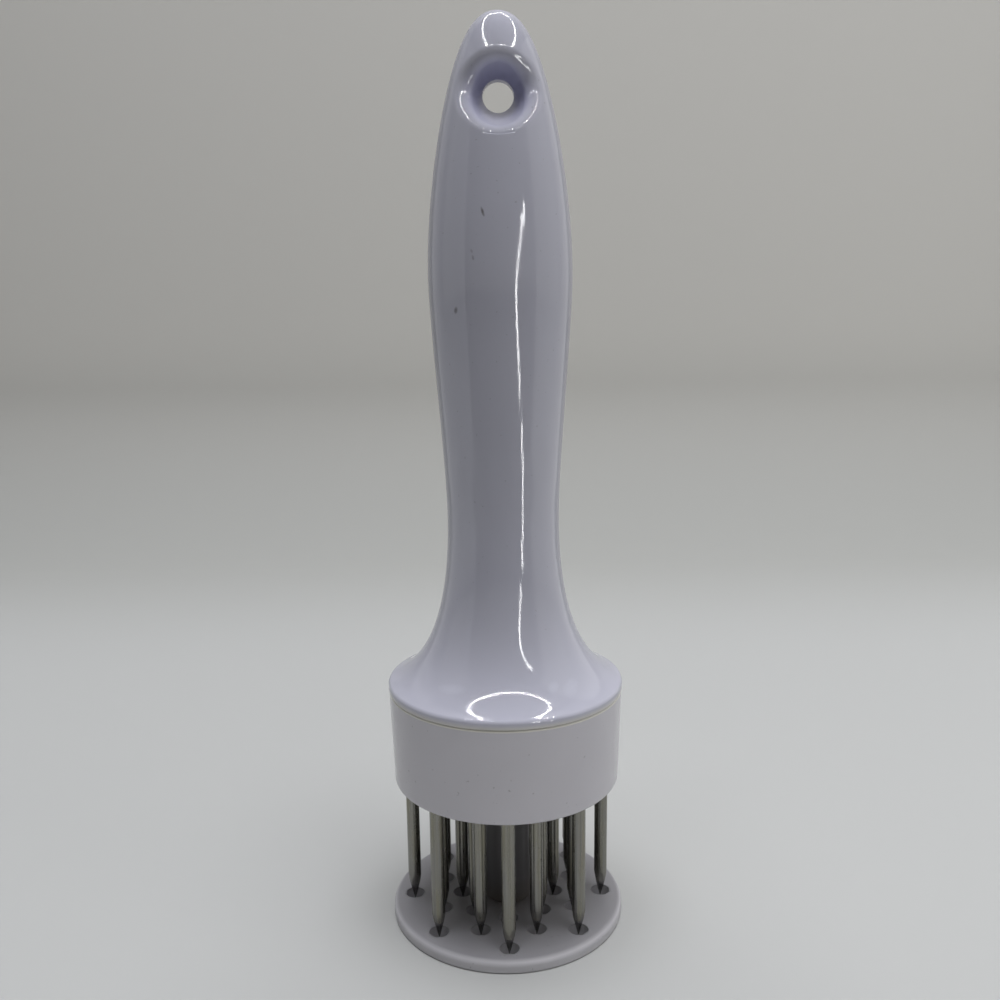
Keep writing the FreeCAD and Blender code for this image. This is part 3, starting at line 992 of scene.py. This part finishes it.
def rim_and_shoulder(outline):
    """Rounds the bell's rim: an arc that leaves the side upright and runs into the shoulder."""
    upright = bell_radius - bell_rim_round
    run = [Vector((bell_radius, bell_rim))] + outline
    for k, (here, ahead) in enumerate(zip(run, run[1:])):
        along = (ahead - here).normalized()
        centre = here + Vector((-along.y, along.x)) * bell_rim_round
        if centre.x <= upright:
            break
        before = (here, centre)
    share = (before[1].x - upright) / (before[1].x - centre.x)
    centre = before[1].lerp(centre, share)
    end = before[0].lerp(here, share) - centre
    sweep = math.atan2(end.y, end.x)
    arc = []
    for step in range(rim_steps + 1):
        angle = sweep * step / rim_steps
        arc.append(centre + Vector((math.cos(angle), math.sin(angle))) * bell_rim_round)
    return arc + run[k:]


def handle_section():
    """The closed outline of the handle's section, from the top of its core down, out and up to its top."""
    width = skirt_inner_radius - core_radius
    rise = cavity_top - cavity_bottom
    sweep_radius = (width**2 + rise**2) / (2 * width)
    sweep = math.asin(rise / sweep_radius)
    cavity = []
    for k in range(1, cavity_rows + 1):
        angle = sweep * k / cavity_rows
        radius = core_radius + sweep_radius * (1 - math.cos(angle))
        cavity.append(Vector((radius, cavity_top - sweep_radius * math.sin(angle))))
    core = rounded(
        (0, core_top, 0),
        (upper_core_end_radius, core_top, core_end_round),
        (upper_core_radius, ledge_height, 0),
        (core_radius, ledge_height, 0),
        (core_radius, cavity_top, 0),
    )
    skirt = rounded(
        (skirt_inner_radius, handle_low.z, 0),
        (skirt_radius, handle_low.z, 2 * edge_round),
        (skirt_radius, bead_height - bead_reach, 0),
        (skirt_radius + bead_depth, bead_height, bead_depth),
        (skirt_radius, bead_height + bead_reach, 0),
        (skirt_radius, cup_high.z, 0),
        (seam_radius, cup_high.z, 0),
        (seam_radius, seam_top, 0),
        (bell_radius, seam_top, edge_round),
        (bell_radius, bell_rim, 0),
    )
    return core + cavity + skirt[:-1] + rim_and_shoulder(handle_outline())


def handle_radius_at(height, outline):
    """The radius of the handle's outside at a height."""
    for lower, upper in zip(outline, outline[1:]):
        if lower.y <= height <= upper.y:
            return lower.lerp(upper, (height - lower.y) / (upper.y - lower.y)).x
    return outline[-1].x


def nearest(run, place):
    """The point of an open run of points that is nearest to a place."""
    best = run[0]
    for start, end in zip(run, run[1:]):
        along = end - start
        share = min(1, max(0, (place - start).dot(along) / along.length_squared))
        near = start + along * share
        if (near - place).length < (best - place).length:
            best = near
    return best


def spoke(angle, edge_reach, outline):
    """The handle's skin along one ray from the hanging hole's axis, from the window's edge to its throat.

    Each point is its distance from the axis and its depth from the handle's middle plane.
    """
    along = Vector((math.cos(angle), math.sin(angle)))

    def depth_at(reach):
        radius = handle_radius_at(hole_height + reach * along.y, outline)
        return math.sqrt(max(0, radius**2 - (reach * along.x) ** 2))

    skin = []
    for k in range(skin_steps + 1):
        reach = hole_radius + (edge_reach - hole_radius) * k / skin_steps
        skin.append(Vector((reach, depth_at(reach))))
    throat = Vector((hole_radius, hole_land))
    wall_run = Vector((hole_flare, 1)).normalized()
    wall_side = Vector((wall_run.y, -wall_run.x)) * hole_round
    # The lip's arc touches the funnel's wall and the skin.
    low, high = 0, depth_at(hole_radius) - hole_land
    for _ in range(lip_tries):
        middle = (low + high) / 2
        centre = throat + wall_run * middle + wall_side
        if (nearest(skin, centre) - centre).length > hole_round:
            low = middle
        else:
            high = middle
    start = nearest(skin, centre) - centre
    lip = []
    for k in range(lip_steps + 1):
        lip.append(centre + start.slerp(-wall_side, k / lip_steps).normalized() * hole_round)
    before = throat + wall_run * throat_round
    after = throat - Vector((0, throat_round))
    throat_arc = [curve(k / throat_steps, before, throat, after) for k in range(throat_steps + 1)]
    flat = []
    for k in range(1, flat_steps):
        reach = lip[0].x + (edge_reach - lip[0].x) * (1 - k / flat_steps) ** flat_ease
        flat.append(Vector((reach, depth_at(reach))))
    wall = [lip[-1].lerp(before, k / wall_steps) for k in range(1, wall_steps)]
    middle_plane = Vector((hole_radius, 0))
    land = [after.lerp(middle_plane, 0.5), middle_plane]
    return flat + lip + wall + throat_arc + land


def cut_hanging_hole(piece):
    """Opens a window in the front and the back of the handle, and fills each with half of the hole."""
    outline = handle_outline()
    solid = bmesh.new()
    solid.from_mesh(piece.data)
    bmesh.ops.remove_doubles(solid, verts=solid.verts, dist=weld_distance)

    def in_window(face):
        middle = face.calc_center_median()
        if not -window_below < middle.z - hole_height < window_above:
            return False
        return math.atan2(abs(middle.x), abs(middle.y)) < window_half_angle

    def around(vertex):
        return math.atan2(vertex.co.z - hole_height, vertex.co.x)

    gone = [face for face in solid.faces if in_window(face)]
    bmesh.ops.delete(solid, geom=gone, context="FACES")
    for side in (-1, 1):
        ring = [vertex for vertex in solid.verts if vertex.is_boundary and vertex.co.y * side > 0]
        ring.sort(key=around)
        spokes = []
        for vertex in ring:
            reach = math.hypot(vertex.co.z - hole_height, vertex.co.x)
            spokes.append((around(vertex), spoke(around(vertex), reach, outline)))
        loops = [ring]
        for k in range(len(spokes[0][1])):
            loop = []
            for angle, points in spokes:
                reach, depth = points[k]
                place = (reach * math.cos(angle), side * depth, hole_height + reach * math.sin(angle))
                loop.append(solid.verts.new(place))
            loops.append(loop)
        bridge(solid, loops)
    solid.to_mesh(piece.data)
    solid.free()


def mark_group():
    """A single mark in a surface: white inside an uneven, tilted oval about a point, black outside."""
    inputs = {"Centre": "Vector", "Across": "Vector", "Along": "Vector", "Ragged": "Float"}
    tree, given = new_tree("ingrained_mark", "ShaderNodeTree", inputs, {"Mask": "Float"})
    place, axes = surface(tree)
    off = vector_calc(tree, "SUBTRACT", place, given["Centre"])
    squares = []
    for axis in ("Across", "Along"):
        part = vector_calc(tree, "DOT_PRODUCT", off, given[axis]).outputs["Value"]
        squares.append(calc(tree, "MULTIPLY", part, part))
    reach = calc(tree, "ADD", *squares)
    uneven = calc(tree, "MULTIPLY_ADD", noise(tree, place, 1800, 3), given["Ragged"], reach)
    inside = ramp(tree, uneven, 0.3, 1.7, 1.0, 0.0)
    front = calc(tree, "LESS_THAN", axes["Y"], 0.0)
    return close_tree(tree, {"Mask": calc(tree, "MULTIPLY", inside, front)})


ingrained_mark = mark_group()


def add_mark(material, x, z, width, length, tilt, colour, strength):
    """A mark on the front of a material, in the sizes of the list of marks."""
    tree = material.node_tree
    turn = math.radians(tilt)
    wide = 2 / (width * mm)
    long = 2 / (length * mm)
    values = {
        "Centre": (x * mm, 0, z * mm),
        "Across": (wide * math.cos(turn), 0, wide * math.sin(turn)),
        "Along": (-long * math.sin(turn), 0, long * math.cos(turn)),
        "Ragged": 0.8,
    }
    mark = add(tree, "ShaderNodeGroup", values, node_tree=ingrained_mark)
    tint(material, mark, colour, strength)


def handle_material():
    """Glossy lavender-white plastic with painted shade and light, hand smudges, specks and painted glints.
    """
    values = {"Cloud Size": 22 * mm, "Gloss": 0.05, "Smudge": 0.08, "Smudge Size": 12 * mm}
    values.update({"Speck Size": 0.7 * mm, "Ripple Size": 4.5 * mm, "Ripple Height": 0.006 * mm})
    material = plastic("glossy_handle_plastic", handle_colour, values, subsurface=0.2)
    tree = material.node_tree
    place, axes = surface(tree)
    height = axes["Z"]
    off = vector_calc(tree, "SUBTRACT", place, (0, 0, hole_height))
    upright = vector_calc(tree, "MULTIPLY", off, (1, 0, 1))
    reach = vector_calc(tree, "LENGTH", upright).outputs["Value"]
    funnel = ramp(tree, reach, funnel_shade_outer, funnel_shade_inner, kind="SMOOTHSTEP")
    bell = ramp(tree, height, bell_light_bottom + bell_light_fade, bell_light_bottom, kind="SMOOTHSTEP")
    # Painted shade: the funnels deeper violet.
    tint(material, funnel, funnel_shade_colour)
    # Painted light: the bell lighter than the grip.
    tint(material, bell, bell_painted_light)
    # Painted light: the band of the bell's rim just above the seam lighter still.
    tint(material, ramp(tree, height, rim_light_top, rim_light_bottom), rim_band_painted_light, 0.8)
    for mark in marks:
        add_mark(material, *mark)
    return material


handle = outline_piece("handle_section", handle_section())
shaped(handle, turned, steps=round_steps, material=handle_material())
cut_hanging_hole(handle)
finished(handle, "handle_moulding")
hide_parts("handle")
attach(handle, "handle_assembly")

# ---- Floor and backdrop ----
# A plain pale sheet of paper that lies under the tool and sweeps up behind it.

floor_front = -2.0
wall_distance = 0.40
sweep_bend = 0.09
wall_top = 1.6
half_width = 2.0
bend_start = 0.16
bend_end = 0.36
wall_fade = 0.13
front_start = -0.2
front_end = -0.4
floor_colour = (0.515, 0.52, 0.507, 1)
# Painted shade: the floor darker towards the front.
front_painted_shade = (0.25, 0.25, 0.245, 1)
# Painted shade at the bend, and painted light on the wall, which is lighter than the floor.
bend_painted_shade = (0.435, 0.437, 0.415, 1)
wall_painted_light = (0.605, 0.592, 0.555, 1)


def backdrop_mesh():
    """The sheet's section, drawn out to both sides."""
    section = [(floor_front, 0), (front_end, 0), (0, 0)]
    for degrees in range(0, 91, 5):
        angle = math.radians(degrees)
        y = wall_distance - sweep_bend + sweep_bend * math.sin(angle)
        section.append((y, sweep_bend * (1 - math.cos(angle))))
    section.append((wall_distance, wall_top))
    points = [(x, y, z) for y, z in section for x in (-half_width, half_width)]
    faces = [(2 * k, 2 * k + 1, 2 * k + 3, 2 * k + 2) for k in range(len(section) - 1)]
    mesh = bpy.data.meshes.new("backdrop")
    mesh.from_pydata(points, [], faces)
    for polygon in mesh.polygons:
        polygon.use_smooth = True
    return mesh


def backdrop_material():
    """Matt paper: painted shade at its front and where it bends up, and painted light on its wall."""
    material = bpy.data.materials.new("paper_backdrop")
    material.use_nodes = True
    tree = material.node_tree
    axes = surface(tree)[1]
    # Painted shade: darker where the paper bends up.
    back = ramp(tree, axes["Y"], bend_start, bend_end, kind="SMOOTHSTEP")
    paper = {
        "Base Color": blend(tree, back, floor_colour, bend_painted_shade),
        "Roughness": 0.7,
        "IOR": 1.49,
        "Specular IOR Level": 0.2,
    }
    feed(tree, tree.nodes["Principled BSDF"], paper)
    # Painted light: the wall lighter than the floor.
    tint(material, ramp(tree, axes["Z"], 0.0, wall_fade, kind="SMOOTHSTEP"), wall_painted_light)
    # Painted shade: the floor darker towards the front.
    tint(material, ramp(tree, axes["Y"], front_start, front_end, kind="SMOOTHSTEP"), front_painted_shade)
    return material


backdrop = new_object("backdrop", backdrop_mesh())
backdrop.data.materials.append(backdrop_material())

# ---- Light ----
# A small tent: a large soft light overhead with a ring of small lamps under it, a soft panel at each side, a
# bowed strip of small lamps at the front right, and weak fills from the front and the right.


def panel(name, place, towards, width, height, radiance, diffuse=True, glossy=True, colour=(1, 1, 1)):
    """A flat lamp of even brightness that faces a point. The camera doesn't see it."""
    data = bpy.data.lights.new(name, "AREA")
    data.color = colour
    data.shape = "RECTANGLE"
    data.size = width
    data.size_y = height
    data.energy = radiance * math.pi * width * height
    lamp = new_object(name, data)
    lamp.location = place
    facing = Vector(towards) - Vector(place)
    lamp.rotation_euler = facing.to_track_quat("-Z", "Y").to_euler()
    lamp.visible_camera = False
    lamp.visible_diffuse = diffuse
    lamp.visible_glossy = glossy


# The ring of small lamps overhead
ring_middle = (0.0178, -0.0472)
ring_reach = 0.16
ring_height = 0.4245
ring_lamps = 90
ring_lamp_size = 0.0065
ring_radiance = 110
for k in range(ring_lamps):
    angle = 2 * math.pi * k / ring_lamps
    x = ring_middle[0] + ring_reach * math.cos(angle)
    y = ring_middle[1] + ring_reach * math.sin(angle)
    place = (x, y, ring_height)
    panel(f"ring_{k}", place, (x, y, 0), ring_lamp_size, ring_lamp_size, ring_radiance, diffuse=False)

# The bowed strip of small lamps at the front right, with a gap near its foot and a wide lamp near its top
bow_distance = 0.223
bow_bearing = 38.5
bow_depth = 15.3
bow_top = 0.215
bow_drop = 0.17
bow_lamps = 17
bow_gap = 14
bow_wide = 1
bow_lamp_width = 0.01
bow_wide_width = 0.026
bow_lamp_height = 0.0108
bow_radiance = 20
for k in range(bow_lamps):
    share = k / (bow_lamps - 1)
    bearing = math.radians(bow_bearing - bow_depth * math.sin(math.pi * share))
    z = bow_top - bow_drop * share
    place = (bow_distance * math.sin(bearing), -bow_distance * math.cos(bearing), z)
    width = bow_wide_width if k == bow_wide else bow_lamp_width
    if k != bow_gap:
        panel(f"bow_{k}", place, (0, 0, z), width, bow_lamp_height, bow_radiance, diffuse=False)

cool = (0.97, 0.985, 1.04)
warm = (1.04, 1, 0.96)
side_target = (0, 0.05, 0.25)
panel("soft_overhead", (0, 0, 1.3), (0, 0, 0), 0.9, 0.9, 5.7, glossy=False, colour=cool)
panel("key", (0.38, -0.32, 0.8), (0, 0, 0.08), 0.7, 0.7, 1.05, glossy=False)
panel("front_fill", (0, -0.8, 0.25), (0, 0, 0.1), 0.7, 0.4, 0.28, glossy=False, colour=warm)
panel("side_fill", (0.38, 0.05, 0.25), side_target, 0.6, 0.55, 0.32, glossy=False)
panel("left_panel", (-0.34, 0.05, 0.25), side_target, 0.56, 0.5, 0.42, diffuse=False, colour=cool)
panel("right_panel", (0.34, 0.05, 0.25), side_target, 0.56, 0.5, 0.65, diffuse=False)

world_light = 0.042
seen_colour = (0.33, 0.33, 0.31, 1)


def studio_world():
    """Low even light from all round. It looks like pale paper from the camera and in the gloss."""
    world = bpy.data.worlds.new("studio")
    world.use_nodes = True
    tree = world.node_tree
    light = tree.nodes["Background"]
    feed(tree, light, {"Color": (1, 1, 1, 1), "Strength": world_light})
    seen = add(tree, "ShaderNodeBackground", {"Color": seen_colour, "Strength": 1.0})
    path = add(tree, "ShaderNodeLightPath").outputs
    looked_at = calc(tree, "MAXIMUM", path["Is Camera Ray"], path["Is Glossy Ray"])
    mixed = add(tree, "ShaderNodeMixShader", {0: looked_at, 1: light, 2: seen})
    feed(tree, tree.nodes["World Output"], {"Surface": mixed})
    return world


bpy.context.scene.world = studio_world()

# ---- Camera ----
# Held in the hand just in front of the tool, level with the middle of its grip and tilted down.

camera_place = (-0.00187, -0.2256, 0.1442)
camera_yaw = 0.0053
camera_pitch = 0.1987
camera_roll = -0.013
camera_data = bpy.data.cameras.new("camera")
camera_data.sensor_width = 36
camera_data.lens = 37.31
camera_data.clip_start = 0.01
camera = new_object("camera", camera_data)
camera.matrix_world = (
    Matrix.Translation(camera_place)
    @ Matrix.Rotation(-camera_yaw, 4, "Z")
    @ Matrix.Rotation(math.pi / 2 - camera_pitch, 4, "X")
    @ Matrix.Rotation(camera_roll, 4, "Z")
)
bpy.context.scene.camera = camera
bpy.context.scene.view_settings.view_transform = "Standard"
